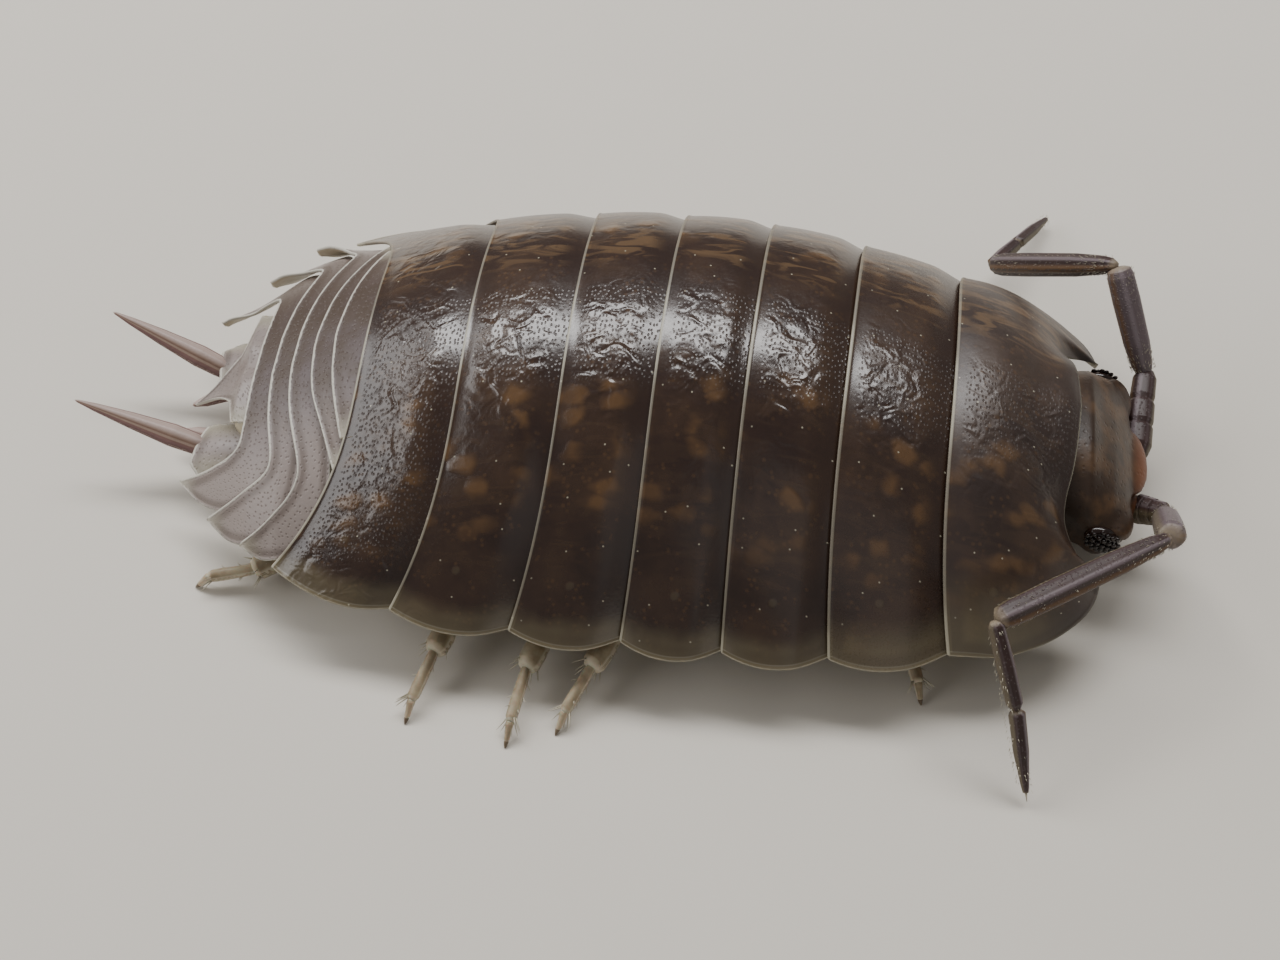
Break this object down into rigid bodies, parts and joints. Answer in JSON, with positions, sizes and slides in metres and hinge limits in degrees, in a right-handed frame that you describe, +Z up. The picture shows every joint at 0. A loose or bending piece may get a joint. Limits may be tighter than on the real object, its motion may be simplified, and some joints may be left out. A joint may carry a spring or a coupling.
{
  "type": "woodlouse",
  "caption": "Life-size still woodlouse with an arched shell of overlapping plates, bent feelers, two tail spears and small flat feet, resting on all its legs.",
  "frame": {"origin": "on the floor, under the middle of the whole outline", "axes": "+X towards the head, +Y to the animal's own left, +Z up from the floor that the feet stand on"},
  "size_m": [0.0222, 0.0158, 0.0053],
  "materials": {
    "shell": "glossy dark brown-grey shell, finely pitted, with pale rear rims",
    "tail": "glossy lilac-grey shell with pale rims",
    "face": "dark brown shell, mottled lighter",
    "eye": "black and shiny",
    "feeler": "purple-brown with pale joints",
    "spear": "purple-brown with pale edges",
    "limb": "pale grey-beige, slightly translucent",
    "gill": "pale cream"
  },
  "bodies": {
    "root": {"trunk_plate_1": "shell", "trunk_plate_2": "shell", "trunk_plate_3": "shell", "trunk_plate_4": "shell", "trunk_plate_5": "shell", "trunk_plate_6": "shell", "trunk_plate_7": "shell", "tail_rings": "tail", "telson": "tail", "head": "face", "eye_right": "eye", "gills_right": "gill", "uropod_right_base": "tail", "uropod_right_spear": "spear", "antenna_right_base": "feeler", "antenna_right_fourth": "feeler", "antenna_right_fifth": "feeler", "antenna_right_flagellum": "feeler", "leg_right_1": "limb", "leg_right_2": "limb", "leg_right_3": "limb", "leg_right_4": "limb", "leg_right_5": "limb", "leg_right_6": "limb", "leg_right_7": "limb", "eye_left": "eye", "gills_left": "gill", "uropod_left_base": "tail", "uropod_left_spear": "spear", "antenna_left_base": "feeler", "antenna_left_fourth": "feeler", "antenna_left_fifth": "feeler", "antenna_left_flagellum": "feeler", "leg_left_1": "limb", "leg_left_2": "limb", "leg_left_3": "limb", "leg_left_4": "limb", "leg_left_5": "limb", "leg_left_6": "limb", "leg_left_7": "limb"}
  },
  "joints": []
}
